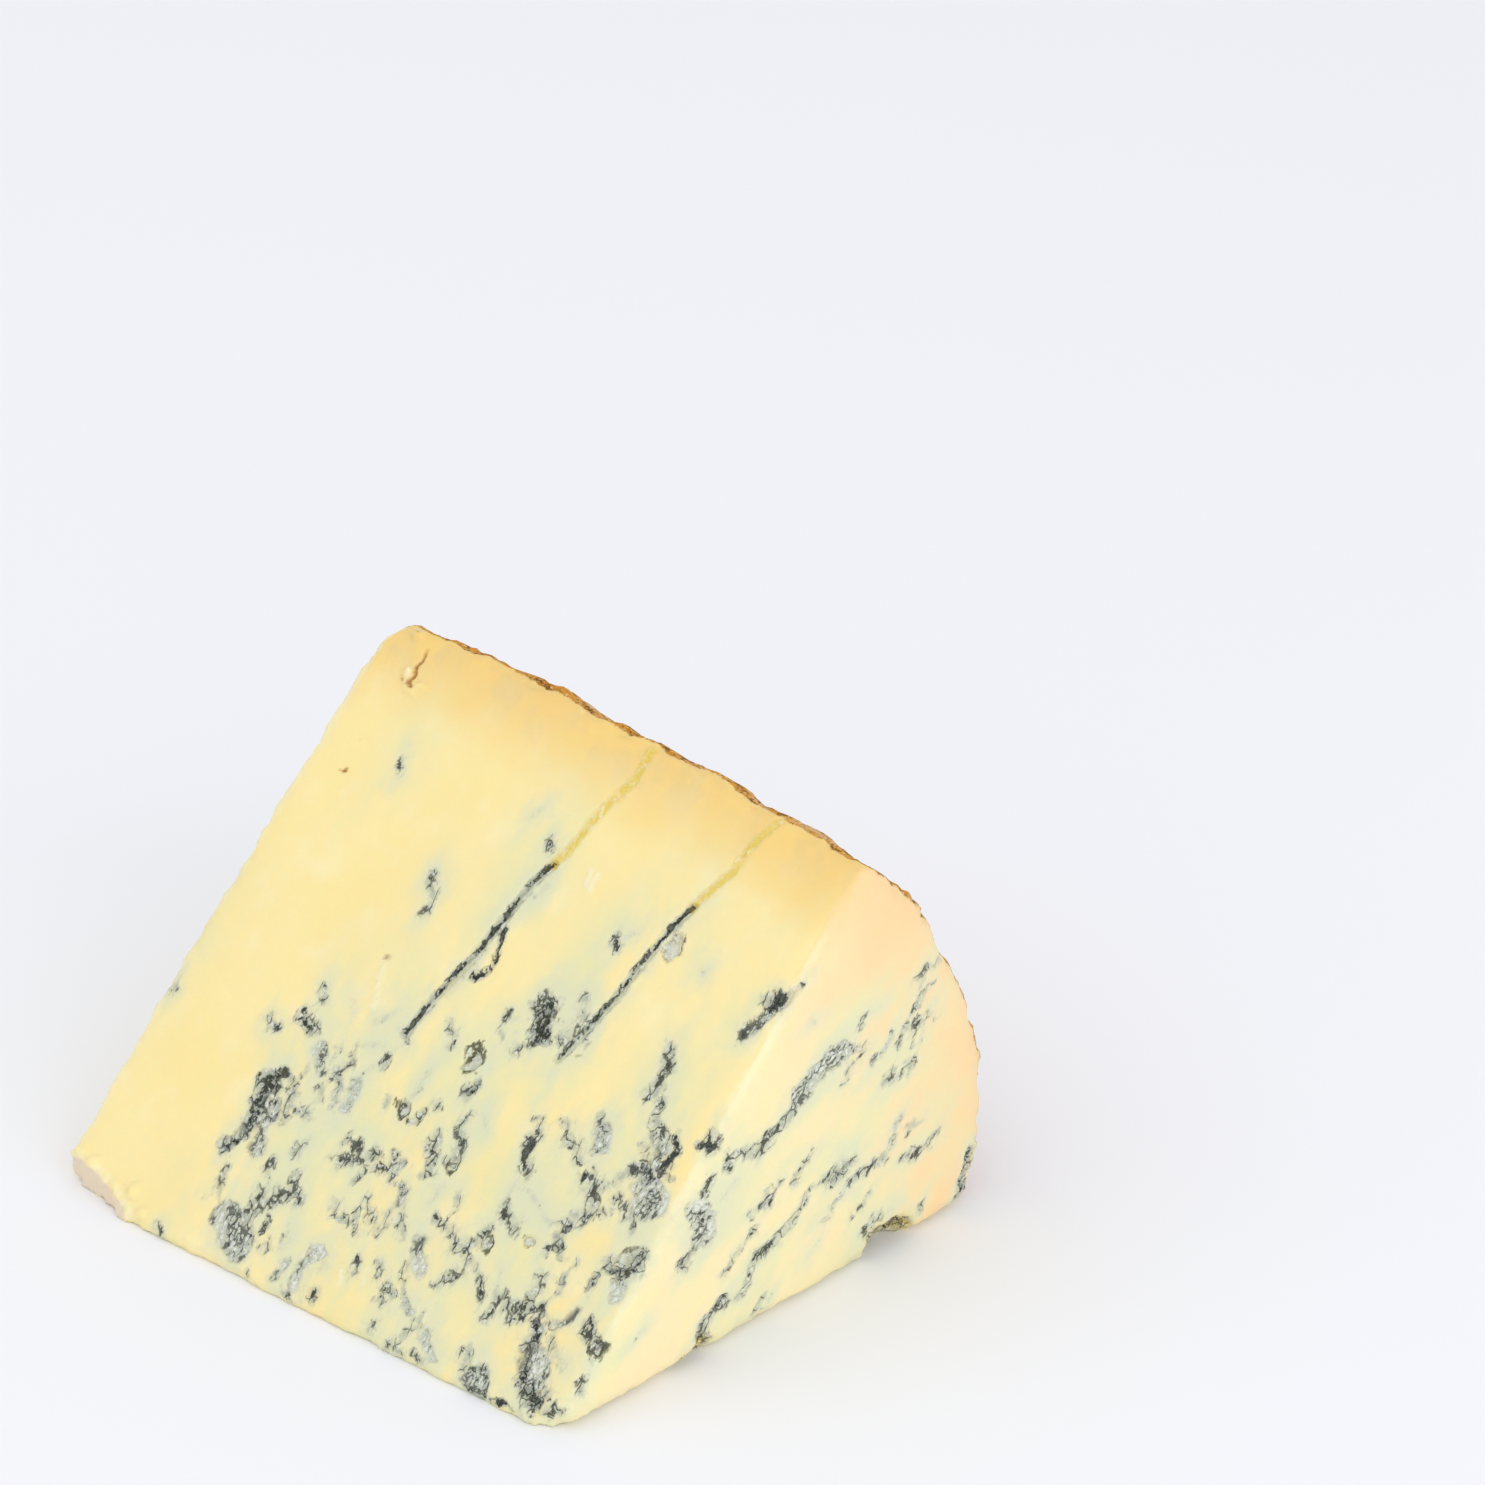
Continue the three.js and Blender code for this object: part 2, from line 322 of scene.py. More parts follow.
# How wide the dark part of each kind of vein is for its width, how far it falls short of being dark and how
# quickly it fades sideways; how strongly it stains, how far it strays, how far it sinks, how rough its bed is
# and how grainy it is.
KINDS = {
    "clot": dict(dark=0.52, short=0.0, fade=0.75, stain=0.8, stray=1.0, sink=0.2, rough=0.25, grain=0.1),
    "mass": dict(dark=0.52, short=-0.2, fade=0.85, stain=1.0, stray=1.4, sink=0.5, rough=0.7, grain=0.6),
    "grains": dict(dark=0.3, short=0.7, fade=1.0, stain=1.0, stray=1.0, sink=0.28, rough=0.5, grain=1.0),
    "smear": dict(dark=0.3, short=0.6, fade=1.0, stain=0.9, stray=1.0, sink=0.05, rough=0.06, grain=0.1),
    "crack": dict(dark=0.4, short=-0.4, fade=1.5, stain=0.5, stray=0.6, sink=0.4, rough=0.15, grain=0.0),
    "crumble": dict(dark=0.45, short=0.2, fade=0.6, stain=0.6, stray=1.0, sink=0.3, rough=0.9, grain=0.9),
    "needle": dict(dark=0.4, short=-0.12, fade=3.6, stain=0.5, stray=0.25, sink=0.2, rough=0.2, grain=0.3),
}


class CheeseShape(bpy.types.PropertyGroup):
    """Sizes of the wedge's surface."""

    step: bpy.props.FloatProperty(
        name="Mesh step",
        description="Length of a mesh edge where the surface is plain",
        default=1.35 * MM,
        min=0.6 * MM,
        unit="LENGTH",
    )
    groove_depth: bpy.props.FloatProperty(
        name="Groove depth",
        description="Depth of an open needle channel",
        default=0.8 * MM,
        unit="LENGTH",
    )
    groove_width: bpy.props.FloatProperty(
        name="Groove width",
        description="Width of an open needle channel",
        default=1.7 * MM,
        unit="LENGTH",
    )
    crust_relief: bpy.props.FloatProperty(
        name="Crust relief",
        description="Height of the rind's wrinkles",
        default=0.8 * MM,
        unit="LENGTH",
    )


def colour(name, description, default):
    return bpy.props.FloatVectorProperty(
        name=name, description=description, default=default, size=3, min=0, max=1, subtype="COLOR"
    )


class CheeseColours(bpy.types.PropertyGroup):
    """Colours of the paste, the mould and the rind, as linear light."""

    paste: colour("Paste", "Pale yellow paste", (0.97, 0.80, 0.385))
    butter: colour("Butter", "Deeper yellow patches in the paste", (0.965, 0.775, 0.34))
    # Cream is the colour of pale smears and crumbs. It is also the colour of the painted highlight along the rounded
    # ridge.
    cream_and_ridge_highlight: colour("Cream", "Pale smears on the paste", (0.98, 0.88, 0.60))
    end_paste: colour("End paste", "Creamier paste on the end face", (0.975, 0.785, 0.48))
    rim_paste: colour("Rim paste", "Tan paste under the rind", (0.86, 0.58, 0.18))
    end_rim_paste: colour("End rim paste", "Pinkish paste under the rind on the end face", (0.93, 0.627, 0.317))
    # Gold is the colour of real golden patches under the rind. It is also the colour of the painted shade along the
    # ridge.
    gold_and_ridge_shade: colour("Gold", "Golden line along the ridge", (0.95, 0.69, 0.21))
    olive: colour("Olive", "Dull patches under the rind", (0.72, 0.57, 0.26))
    bloom: colour("Bloom", "Greenish paste round the mould", (0.78, 0.765, 0.44))
    stain: colour("Stain", "Pale grey-green stain beside the mould", (0.71, 0.725, 0.51))
    halo: colour("Halo", "Blue-grey edge of the mould", (0.30, 0.33, 0.29))
    mould: colour("Mould", "Blue-black mould", (0.012, 0.017, 0.014))
    moss: colour("Moss", "Olive mould in wide veins", (0.10, 0.10, 0.045))
    ash: colour("Ash", "Grey bed of the crumbly mould", (0.56, 0.59, 0.51))
    # Salt is the colour of pale grains and crumbs. It is also the colour of the painted highlights on crumbs round
    # the mould.
    salt_and_glints: colour("Salt", "Pale grains in crumbly mould", (0.86, 0.87, 0.79))
    ochre: colour("Ochre", "Walls of the needle channels near the rind", (0.84, 0.62, 0.09))
    # The flake colour holds painted shade: the bed is painted darker than its paste is.
    flake: colour("Flake", "Smooth bed where a flake came off", (0.78, 0.65, 0.50))
    rust: colour("Rust", "Rust-brown cracks near the rind", (0.46, 0.19, 0.02))
    crust: colour("Crust", "Orange-brown rind", (0.62, 0.24, 0.02))
    crust_dark: colour("Dark crust", "Dark specks on the rind", (0.13, 0.07, 0.02))
    dust: colour("Dust", "Pale mould dust on the rind", (0.70, 0.58, 0.40))


class CheeseStage(bpy.types.PropertyGroup):
    """The camera and the light."""

    azimuth: bpy.props.FloatProperty(
        name="Azimuth",
        description="How far round from the thin edge the camera stands",
        default=math.radians(40.79),
        subtype="ANGLE",
    )
    elevation: bpy.props.FloatProperty(
        name="Elevation",
        description="How far above the floor the camera stands",
        default=math.radians(28.11),
        subtype="ANGLE",
    )
    distance: bpy.props.FloatProperty(
        name="Distance",
        description="From the camera to what it looks at",
        default=1.0,
        unit="LENGTH",
    )
    lens: bpy.props.FloatProperty(
        name="Lens",
        description="Focal length in millimetres",
        default=150.3,
        min=1,
    )
    key_power: bpy.props.FloatProperty(
        name="Key light",
        description="Power of the large soft light, in watts",
        default=1.1,
        unit="POWER",
    )
    side_power: bpy.props.FloatProperty(
        name="Side light",
        description="Power of the large soft light that faces the end, in watts",
        default=6.0,
        unit="POWER",
    )
    sky: bpy.props.FloatProperty(
        name="Sky light",
        description="Strength of the even light from all round",
        default=0.88,
    )


# ---------------------------------------------------------------- places and noise


def wheel_places(points):
    """Points in metres, as (x, y, z) in millimetres from the box's low end and the wheel's axis."""
    return points / MM - np.array([LOW.x / MM, LOW.y / MM - AXIS_BEHIND_BOX, 0])


def upper(x, out):
    """A place on the upper cut face."""
    return (x, out * math.cos(CUT_ANGLE), out * math.sin(CUT_ANGLE))


def end(y, z):
    """A place on the end face."""
    return (END_AT + END_LEAN * y, y, z)


def lumps(places, size, octaves=1, seed=0.0):
    """Smooth noise from about -1 to 1, with lumps about this many millimetres across."""
    shift = Vector((seed, 1.7 * seed, 2.3 * seed))
    scaled = places / size
    return np.array([noise.fractal(Vector(p) + shift, 1.0, 2.0, octaves) for p in scaled])


def wander(places, size, amount):
    """Places moved about by noise, so that what is drawn round them has a ragged outline."""
    scaled = places / size
    return places + amount * np.array([noise.noise_vector(Vector(p)) for p in scaled])


def drawn_out(places):
    """Places squeezed along the strokes' way, so that distances between them are drawn out that way."""
    return places - 0.45 * (places @ np.array(DRAWN))[:, None] * np.array(DRAWN)


def path_distance(places, path):
    """The shortest way from each place to a path of one or more points."""
    points = np.array(path, float)
    if len(points) == 1:
        points = np.vstack([points, points + 1e-3])
    nearest = np.full(len(places), np.inf)
    for start, stop in zip(points[:-1], points[1:]):
        along = stop - start
        share = np.clip((places - start) @ along / max(along @ along, 1e-9), 0, 1)
        nearest = np.minimum(nearest, np.linalg.norm(places - start - share[:, None] * along, axis=1))
    return nearest


def close_to(places, path, reach):
    """The indices of the places within reach of a path's box."""
    points = np.array(path, float)
    inside = (places > points.min(0) - reach) & (places < points.max(0) + reach)
    return np.flatnonzero(inside.all(1))


def soft_step(low, high, value):
    share = np.clip((value - low) / (high - low), 0, 1)
    return share * share * (3 - 2 * share)


# ---------------------------------------------------------------- where the mould is


def scattered_veins(rng, count, size, place, x_range, out_range):
    """Veins put down by chance on a face: short strokes that run outwards."""
    veins = []
    for _ in range(count):
        x, out = rng.uniform(*x_range), rng.uniform(*out_range)
        kind = rng.choice(["clot", "clot", "clot", "smear", "grains", "mass"])
        width = {"clot": 1.2, "smear": 1.6, "grains": 2.6, "mass": 2.2}[kind] * size * rng.uniform(0.6, 1.2)
        path = [(x, out)]
        for _ in range(rng.integers(1, 4)):
            x, out = x + rng.normal(0, 1.3), out - rng.uniform(1, 3.2)
            path.append((x, out))
        veins.append((kind, width, [place(*point) for point in path]))
    return veins


def all_veins():
    """Every vein with its points on the wedge."""
    rng = np.random.default_rng(7)
    veins = [(kind, width, [upper(*point) for point in path]) for kind, width, path in UPPER_VEINS]
    veins += [(kind, width, [end(*point) for point in path]) for kind, width, path in END_VEINS]
    veins += BREAK_VEINS
    veins += scattered_veins(rng, 70, 1.0, lambda x, out: (x, out, 0), (28, 108), (8, 84))
    veins += scattered_veins(rng, 24, 1.0, lambda y, z: (4, y, z), (24, 84), (8, 46))
    veins += scattered_veins(rng, 50, 0.6, upper, (30, 109), (6, 50))
    veins += scattered_veins(rng, 18, 0.4, lambda x, y: end(y, x + 0.62 * y), (-44, -2), (44, 88))
    for channel in CHANNELS:
        # Each lined part gets a thin dark line set towards its upper wall, which is mould with painted shade on that
        # wall, and a pale grey-green smear along the lower wall.
        veins.append(("needle", 0.5, [upper(x - 0.45, out + 0.2) for x, out in channel["lined"]]))
        veins.append(("smear", 1.6, [upper(x + 0.6, out - 0.5) for x, out in channel["lined"]]))
    return veins


def measure_veins(places, veins):
    """For each place: how far inside dark mould and inside the stain it is, how grainy and greenish it is,
    and how far the surface sinks and how rough it is there."""
    stray = wander(wander(places, 3.6, 1.0), 1.3, 0.45) - places
    fields = {name: np.zeros(len(places)) for name in ("bloom", "grain", "sink", "rough")}
    fields["mould"] = np.full(len(places), -4.0)
    fields["stain"] = np.full(len(places), -4.0)
    for kind, width, path in veins:
        look = KINDS[kind]
        near = close_to(places, path, 16 + width)
        strayed = places[near] + look["stray"] * stray[near]
        away = path_distance(strayed, path)
        dark = (width * look["dark"] - look["short"] - away) * look["fade"]
        fields["mould"][near] = np.maximum(fields["mould"][near], dark)
        core = soft_step(-0.5, 0.35, width / 2 - away)
        soft = width / 2 - path_distance(drawn_out(strayed), drawn_out(np.array(path, float)))
        fields["stain"][near] = np.maximum(fields["stain"][near], soft - 3 * (1 - look["stain"]))
        green = 0.55 * np.exp(-np.square(np.minimum(soft, 0) / 5.5)) * min(1, 0.5 + width / 4)
        fields["bloom"][near] = 1 - (1 - fields["bloom"][near]) * (1 - green)
        for name in ("grain", "sink", "rough"):
            fields[name][near] = np.maximum(fields[name][near], look[name] * core)
    return fields


# ---------------------------------------------------------------- the wedge's mesh


def merged_copy(node):
    """A bmesh of a CAD node's mesh with its loose triangles joined."""
    bm = bmesh.new()
    bm.from_mesh(node.data)
    bmesh.ops.remove_doubles(bm, verts=bm.verts, dist=1e-6)
    return bm


def even_mesh(bm, step):
    """A new bmesh of the same shape in even quads."""
    rough = bpy.data.meshes.new("rough")
    bm.to_mesh(rough)
    bm.free()
    carrier = bpy.data.objects.new("carrier", rough)
    bpy.context.scene.collection.objects.link(carrier)
    remesh = carrier.modifiers.new("even", "REMESH")
    remesh.mode = "VOXEL"
    remesh.voxel_size = step
    evaluated = carrier.evaluated_get(bpy.context.evaluated_depsgraph_get())
    even = bmesh.new()
    even.from_mesh(evaluated.data)
    bpy.data.objects.remove(carrier)
    bpy.data.meshes.remove(rough)
    bmesh.ops.smooth_vert(even, verts=even.verts, factor=0.5, use_axis_x=True, use_axis_y=True, use_axis_z=True)
    return even


def coordinates(bm):
    return np.array([v.co for v in bm.verts])


def split_where(bm, wanted):
    """Halves the edges of every face that has a wanted vertex."""
    bm.verts.ensure_lookup_table()
    edges = {e for i in np.flatnonzero(wanted) for f in bm.verts[i].link_faces for e in f.edges}
    ordered = sorted(edges, key=lambda e: e.index)
    bmesh.ops.subdivide_edges(bm, edges=ordered, cuts=1, use_grid_fill=True)
    bm.verts.index_update()
    bm.edges.index_update()


def distance_to(tree, places, where):
    """How far each place is from a set of faces. Those that are not asked for are far away."""
    distances = np.full(len(places), 40.0)
    for i in np.flatnonzero(where):
        distances[i] = tree.find_nearest(Vector(places[i]))[3]
    return distances


def looks_outwards(place, normal):
    """Whether a face is part of the rind."""
    out = Vector((0, place.y, place.z))
    return out.length > 85 and normal.dot(out.normalized()) > 0.84


def looks_into_flake(place, normal):
    """Whether a face is part of the bed that a flake left at the start's corner."""
    offset = place - Vector(FLAKE_AT)
    size = Vector([offset[i] / FLAKE_SIZE[i] for i in range(3)]).length
    outwards = Vector([offset[i] / FLAKE_SIZE[i] ** 2 for i in range(3)]).normalized()
    return 0.85 < size < 1.12 and normal.dot(outwards) < -0.8


def pocket_field(places, x, out, across, along, ragged):
    """0 at a pocket's middle, 1 at its rim and more outside."""
    centre = np.array(upper(x, out))
    outwards = np.array(upper(0, 1))
    offset = ragged - centre
    v = offset @ outwards
    rest = np.linalg.norm(offset - v[:, None] * outwards, axis=1)
    return np.hypot(rest / across, v / along)


class OBJECT_OT_cheese_wedge(bpy.types.Operator):
    """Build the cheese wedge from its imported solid"""

    bl_idname = "object.cheese_wedge"
    bl_label = "Build Cheese Wedge"

    def execute(self, context):
        shape = context.scene.cheese_shape
        rind = self.faces_that(looks_outwards)
        flake = self.faces_that(looks_into_flake)
        veins = all_veins()
        bm = even_mesh(merged_copy(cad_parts[NODE]), shape.step)
        self.refine(bm, veins)
        places = wheel_places(coordinates(bm))
        fields = measure_veins(places, veins)
        fields["rind"] = distance_to(rind, places, np.hypot(places[:, 1], places[:, 2]) > 60)
        fields["flake"] = distance_to(flake, places, (places[:, 0] < 40) & (places[:, 1] < 25))
        below_cut = places[:, 1] * math.sin(CUT_ANGLE) - places[:, 2] * math.cos(CUT_ANGLE)
        before_end = END_AT + END_LEAN * places[:, 1] - places[:, 0]
        fields["rim"] = np.minimum(below_cut, before_end + 1.6)
        fields["rind"] += np.clip(1.5 - fields["rim"], 0, 1.5)
        self.carve(bm, places, fields, shape)
        bmesh.ops.triangulate(bm, faces=[f for f in bm.faces if len(f.verts) > 4])
        bmesh.ops.recalc_face_normals(bm, faces=bm.faces)
        piece = self.as_object(bm, fields)
        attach(piece, "root")
        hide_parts(NODE)
        return {"FINISHED"}

    def faces_that(self, wanted):
        """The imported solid's faces that pass a test, as a tree of faces in millimetres from the wheel's axis."""
        bm = merged_copy(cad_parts[NODE])
        for vert, place in zip(bm.verts, wheel_places(coordinates(bm))):
            vert.co = place
        bm.normal_update()
        others = [face for face in bm.faces if not wanted(face.calc_center_median(), face.normal)]
        bmesh.ops.delete(bm, geom=others, context="FACES")
        tree = BVHTree.FromBMesh(bm)
        bm.free()
        return tree

    def refine(self, bm, veins):
        """Splits the mesh where the mould, the rind and the worn edges need it, and again where it is carved."""
        places = wheel_places(coordinates(bm))
        fields = measure_veins(places, veins)
        above = places[:, 2] * math.cos(CUT_ANGLE) - places[:, 1] * math.sin(CUT_ANGLE) > -2.5
        rim = (np.hypot(places[:, 1], places[:, 2]) > RIM - 11) & above
        broken = (places[:, 0] < 24) & (places[:, 1] < 11)
        start = (places[:, 0] < 4) & above
        split_where(bm, (fields["stain"] > -0.7) & (places[:, 2] > 1) | rim | broken | start)
        places = wheel_places(coordinates(bm))
        fields = measure_veins(places, veins)
        carved = (fields["rough"] > 0.4) | (fields["mould"] > -0.1)
        for channel in CHANNELS:
            line = [upper(*point) for point in channel["ochre"] + channel["lined"]]
            carved |= path_distance(places, line) < 1.3
        for path in RUST_CRACKS + SCRATCHES:
            carved |= path_distance(places, [upper(*point) for point in path]) < 1.2
        for x, out, across, along, _depth in POCKETS:
            carved |= pocket_field(places, x, out, across, along, places) < 1.4
        split_where(bm, carved & (places[:, 2] > 1))

    def carve(self, bm, places, fields, shape):
        """Moves each vertex along its normal, by what lies there."""
        bm.normal_update()
        normals = np.array([v.normal for v in bm.verts])
        ragged = wander(wander(places, 2.6, 0.7), 1.1, 0.35)
        straight = wander(places, 1.4, 0.3)
        on_cut = soft_step(0.4, 1.6, fields["rind"])

        move = 0.16 * lumps(places, 14, 2) + 0.05 * lumps(places, 3, 2, 5)
        move -= fields["sink"]
        crumbly = lumps(places, 0.9, 3, 11)
        move += fields["rough"] * (0.7 * crumbly - 0.15)

        for name, marks, half_width in (("rust", RUST_CRACKS, 0.45), ("scratch", SCRATCHES, 0.6)):
            away = np.min([path_distance(ragged, [upper(*point) for point in path]) for path in marks], axis=0)
            fields[name] = 1 - soft_step(0.3 * half_width, half_width, away)
        move += 0.25 * fields["scratch"] - 0.5 * fields["rust"]

        fields["ochre"] = np.zeros(len(places))
        fields["groove"] = np.zeros(len(places))
        for channel in CHANNELS:
            for part, depth in (("ochre", 0.45), ("lined", 1.0)):
                away = path_distance(straight, [upper(*point) for point in channel[part]])
                groove = np.sqrt(np.clip(1 - np.square(away / (shape.groove_width / MM / 2)), 0, 1))
                move -= shape.groove_depth / MM * depth * groove
                fields["groove"] = np.maximum(fields["groove"], groove)
                if part == "ochre":
                    fields["ochre"] = np.maximum(fields["ochre"], 1 - soft_step(0.2, 1.2, away))

        for kind, width, path in BREAK_VEINS:
            bed = 0.8 * (1 - soft_step(0.3 * width, 0.8 * width, path_distance(ragged, path)))
            fields["ochre"] = np.maximum(fields["ochre"], bed)

        fields["pocket"] = np.full(len(places), 3.0)
        for x, out, across, along, depth in POCKETS:
            rim = pocket_field(places, x, out, across, along, ragged)
            fields["pocket"] = np.minimum(fields["pocket"], rim)
            move -= depth * soft_step(0, 0.75, 1.12 - rim)

        lip = np.exp(-np.square((fields["flake"] - 1.0) / 0.8))
        move += 0.7 * lip * np.maximum(lumps(places, 1.5, 3, 41), -0.3)

        for x, y, z, radius, height in CRUMBS:
            away = np.linalg.norm(ragged - np.array([x, y, z]), axis=1)
            move += height * (1 - soft_step(0.35 * radius, radius, away))

        wrinkles = lumps(places, 5, 3, 3)
        pits = np.clip(lumps(places, 2.2, 2, 9) - 0.25, 0, 1)
        crust = shape.crust_relief / MM * (0.9 * wrinkles + 0.35 * lumps(places, 1.3, 2, 21) - 1.4 * pits)
        move = move * on_cut + crust * (1 - on_cut)

        cut = np.array([0, -math.sin(CUT_ANGLE), math.cos(CUT_ANGLE)])
        facing = np.max(np.abs([normals @ cut, normals[:, 0], normals[:, 2]]), axis=0)
        worn = soft_step(0.99, 0.9, facing) * on_cut
        move += worn * (0.38 * lumps(places, 4, 3, 31) + 0.22 * lumps(places, 1.6, 2, 37) - 0.1)

        lowest = places[:, 2] < 0.6
        moved = places + normals * move[:, None]
        moved[lowest, 2] = np.maximum(moved[lowest, 2], 0)
        moved[:, 2] = np.maximum(moved[:, 2], 0)
        back = moved + np.array([LOW.x / MM, LOW.y / MM - AXIS_BEHIND_BOX, 0])
        for vert, co in zip(bm.verts, back * MM):
            vert.co = co
        fields["end"] = soft_step(0.15, 0.85, normals[:, 0])
        fields["start"] = soft_step(0.1, 0.85, -normals[:, 0])

    def as_object(self, bm, fields):
        mesh = bpy.data.meshes.new("cheese_wedge_surface")
        bm.to_mesh(mesh)
        bm.free()
        for name in sorted(set(fields) - {"sink", "rough"}):
            layer = mesh.attributes.new(name, "FLOAT", "POINT")
            layer.data.foreach_set("value", fields[name].astype(np.float32))
        mesh.shade_smooth()
        piece = bpy.data.objects.new("blue_cheese_wedge", mesh)
        bpy.context.scene.collection.objects.link(piece)
        mesh.materials.append(cheese_material(bpy.context.scene.cheese_colours))
        return piece


# ---------------------------------------------------------------- materials


class Socket:
    """An output of a node. Arithmetic on it adds Math nodes."""

    def __init__(self, tree, socket):
        self.tree = tree
        self.socket = socket

    def math(self, operation, first, second):
        return self.tree.add("ShaderNodeMath", {"operation": operation}, {0: first, 1: second})["Value"]

    def __add__(self, other):
        return self.math("ADD", self, other)

    def __sub__(self, other):
        return self.math("SUBTRACT", self, other)

    def __rsub__(self, other):
        return self.math("SUBTRACT", other, self)

    def __mul__(self, other):
        return self.math("MULTIPLY", self, other)

    def maximum(self, other):
        return self.math("MAXIMUM", self, other)

    __radd__ = __add__
    __rmul__ = __mul__


class Added:
    """A node that was added, whose outputs are read by name."""

    def __init__(self, tree, node):
        self.tree = tree
        self.node = node

    def __getitem__(self, name):
        return Socket(self.tree, next(o for o in self.node.outputs if o.name == name and o.enabled))


class Tree:
    """A material's node tree."""

    def __init__(self, name):
        self.material = bpy.data.materials.new(name)
        self.material.use_nodes = True
        self.nodes = self.material.node_tree.nodes
        self.links = self.material.node_tree.links
        self.nodes.clear()
        self.coordinates = self.add("ShaderNodeTexCoord")["Object"]
        self.drawn = self.stretched(self.coordinates, DRAWN, 0.5)

    def add(self, kind, settings=None, sockets=None):
        """Adds a node, sets it, and then gives its sockets their values or links."""
        node = self.nodes.new(kind)
        for key, value in (settings or {}).items():
            setattr(node, key, value)
        for key, value in (sockets or {}).items():
            if isinstance(key, int):
                target = node.inputs[key]
            else:
                target = next(i for i in node.inputs if i.name == key and i.enabled)
            if isinstance(value, Socket):
                self.links.new(value.socket, target)
            else:
                target.default_value = value
        return Added(self, node)

    def vector(self, operation, sockets):
        node = self.add("ShaderNodeVectorMath", {"operation": operation}, sockets)
        return node["Value" if operation == "DOT_PRODUCT" else "Vector"]

    def stretched(self, place, direction, amount):
        """Coordinates that draw a pattern out along a direction. The amount runs from 0 to 1."""
        along = self.vector("DOT_PRODUCT", {0: place, 1: direction})
        back = self.vector("SCALE", {0: direction, "Scale": along * amount})
        return self.vector("SUBTRACT", {0: place, 1: back})

    def away(self, value, middle):
        """How far a value is from a middle one, without its sign."""
        offset = self.add("ShaderNodeMath", {"operation": "SUBTRACT"}, {0: value, 1: middle})["Value"]
        return self.add("ShaderNodeMath", {"operation": "ABSOLUTE"}, {0: offset})["Value"]

    def attribute(self, name):
        return self.add("ShaderNodeAttribute", {"attribute_name": name})["Fac"]

    def noise(self, size, detail=2.0, roughness=0.5, where=None, seed=0.0):
        """Noise from 0 to 1 with features of this size in metres."""
        place = where or self.coordinates
        if seed:
            place = self.vector("ADD", {0: place, 1: (seed, seed, seed)})
        sockets = {"Vector": place, "Scale": 1 / size, "Detail": detail, "Roughness": roughness}
        return self.add("ShaderNodeTexNoise", {}, sockets)["Fac"]

    def cells(self, size, where=None):
        """How far a place is from the edge between two lumps of about this size in metres. The lumps are
        bent by noise."""
        place = where or self.coordinates
        bend = self.add("ShaderNodeTexNoise", {}, {"Vector": place, "Scale": 1.3 / size, "Detail": 2.0})["Color"]
        moved = self.vector("MULTIPLY_ADD", {0: bend, 1: (size * 0.9,) * 3, 2: place})
        settings = {"feature": "DISTANCE_TO_EDGE"}
        return self.add("ShaderNodeTexVoronoi", settings, {"Vector": moved, "Scale": 1 / size})["Distance"]

    def step(self, value, low, high):
        """0 below low and 1 above high, with a soft change between. Low may be the greater."""
        sockets = {"Value": value, "From Min": low, "From Max": high}
        return self.add("ShaderNodeMapRange", {"interpolation_type": "SMOOTHSTEP"}, sockets)["Result"]

    def mix(self, factor, first, second):
        settings = {"data_type": "RGBA"}
        sockets = {"Factor": factor, "A": self.rgba(first), "B": self.rgba(second)}
        return self.add("ShaderNodeMix", settings, sockets)["Result"]

    def rgba(self, value):
        return value if isinstance(value, Socket) else (*value, 1)


def cheese_material(colours):
    """Paste with its mould, channels and pockets, under a crust where the rind is."""
    tree = Tree("blue_cheese")
    grit = {
        "broad": tree.noise(0.030, 2),
        "patch": tree.noise(0.009, 3, seed=0.4),
        "curd": tree.noise(0.0026, 3, 0.6, tree.drawn, 0.9),
        "fine": tree.noise(0.0011, 4, 0.65, tree.drawn),
        "tiny": tree.noise(0.0004, 2, seed=0.2),
    }
    rind = tree.attribute("rind")
    paste, relief, dry = paste_look(tree, colours, grit, rind)
    crust_colour, crust_relief = crust_look(tree, colours, tree.attribute("rim"))
    covered = tree.step(rind + (grit["fine"] - 0.5) * 1.2 + (grit["curd"] - 0.5) * 0.8, 0.55, 0.2)
    bump = tree.add(
        "ShaderNodeBump",
        {},
        {"Strength": 1.0, "Distance": 0.35 * MM, "Height": relief * (1 - covered) + crust_relief * covered},
    )
    soft = tree.add(
        "ShaderNodeBsdfPrincipled",
        {"subsurface_method": "RANDOM_WALK"},
        {
            "Base Color": paste,
            "Roughness": 0.46 + 0.08 * grit["patch"] + dry * 0.36,
            "Normal": bump["Normal"],
            "Subsurface Weight": 0.35,
            "Subsurface Radius": (1.0, 0.62, 0.25),
            "Subsurface Scale": 1.6 * MM,
            "Specular IOR Level": 0.38,
        },
    )
    crust = tree.add(
        "ShaderNodeBsdfPrincipled",
        {},
        {
            "Base Color": crust_colour,
            "Roughness": 0.9,
            "Normal": bump["Normal"],
            "Specular IOR Level": 0.12,
        },
    )
    both = tree.add("ShaderNodeMixShader", {}, {0: covered, 1: soft["BSDF"], 2: crust["BSDF"]})
    tree.add("ShaderNodeOutputMaterial", {}, {"Surface": both["Shader"]})
    return tree.material


